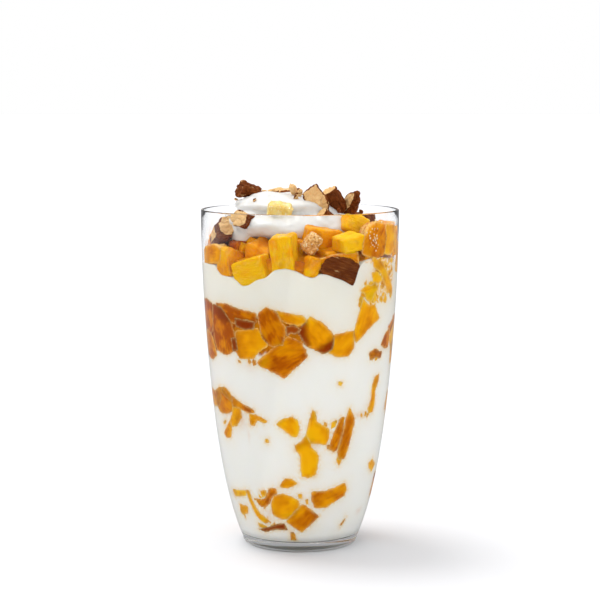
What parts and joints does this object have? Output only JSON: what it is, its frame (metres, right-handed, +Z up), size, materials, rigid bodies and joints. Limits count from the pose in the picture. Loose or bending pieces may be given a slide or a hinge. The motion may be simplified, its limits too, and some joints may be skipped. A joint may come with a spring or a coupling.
{
  "type": "yogurt parfait in a glass",
  "caption": "Tall tapered clear glass filled with wavy layers of white yogurt and diced mango, topped with mango cubes, a yogurt dollop, chopped almonds and candied ginger.",
  "frame": {"origin": "middle of the glass's foot, on the surface it stands on", "axes": "+Z up along the glass's axis, -Y towards the front, +X to the right seen from the front"},
  "size_m": [0.088, 0.088, 0.162],
  "materials": {
    "glass": "clear, polished",
    "yogurt": "creamy, slightly glossy",
    "mango": "wet cut fruit",
    "almond": "roasted skin, pale where cut",
    "ginger": "sugary"
  },
  "bodies": {
    "root": {"glass": "glass", "yogurt_bottom": "yogurt", "mango_bottom": "mango", "yogurt_lower": "yogurt", "mango_lower": "mango", "yogurt_middle": "yogurt", "mango_middle": "mango", "yogurt_upper": "yogurt", "mango_upper": "mango", "yogurt_dollop": "yogurt", "mango_cube_01": "mango", "mango_cube_02": "mango", "mango_cube_03": "mango", "mango_cube_04": "mango", "mango_cube_05": "mango", "mango_cube_06": "mango", "mango_cube_07": "mango", "mango_cube_08": "mango", "mango_cube_09": "mango", "mango_cube_10": "mango", "mango_cube_11": "mango", "mango_cube_12": "mango", "mango_cube_13": "mango", "mango_cube_14": "mango", "mango_cube_15": "mango", "mango_cube_16": "mango", "mango_cube_17": "mango", "mango_cube_18": "mango", "mango_cube_19": "mango", "mango_cube_20": "mango", "mango_cube_21": "mango", "mango_cube_22": "mango", "mango_cube_23": "mango", "mango_cube_24": "mango", "almond_piece_01": "almond", "almond_piece_02": "almond", "almond_piece_03": "almond", "almond_piece_04": "almond", "almond_piece_05": "almond", "almond_piece_06": "almond", "almond_piece_07": "almond", "almond_piece_08": "almond", "almond_piece_09": "almond", "almond_piece_10": "almond", "almond_piece_11": "almond", "almond_piece_12": "almond", "ginger_piece_01": "ginger", "ginger_piece_02": "ginger", "ginger_piece_03": "ginger", "ginger_piece_04": "ginger"}
  },
  "joints": []
}
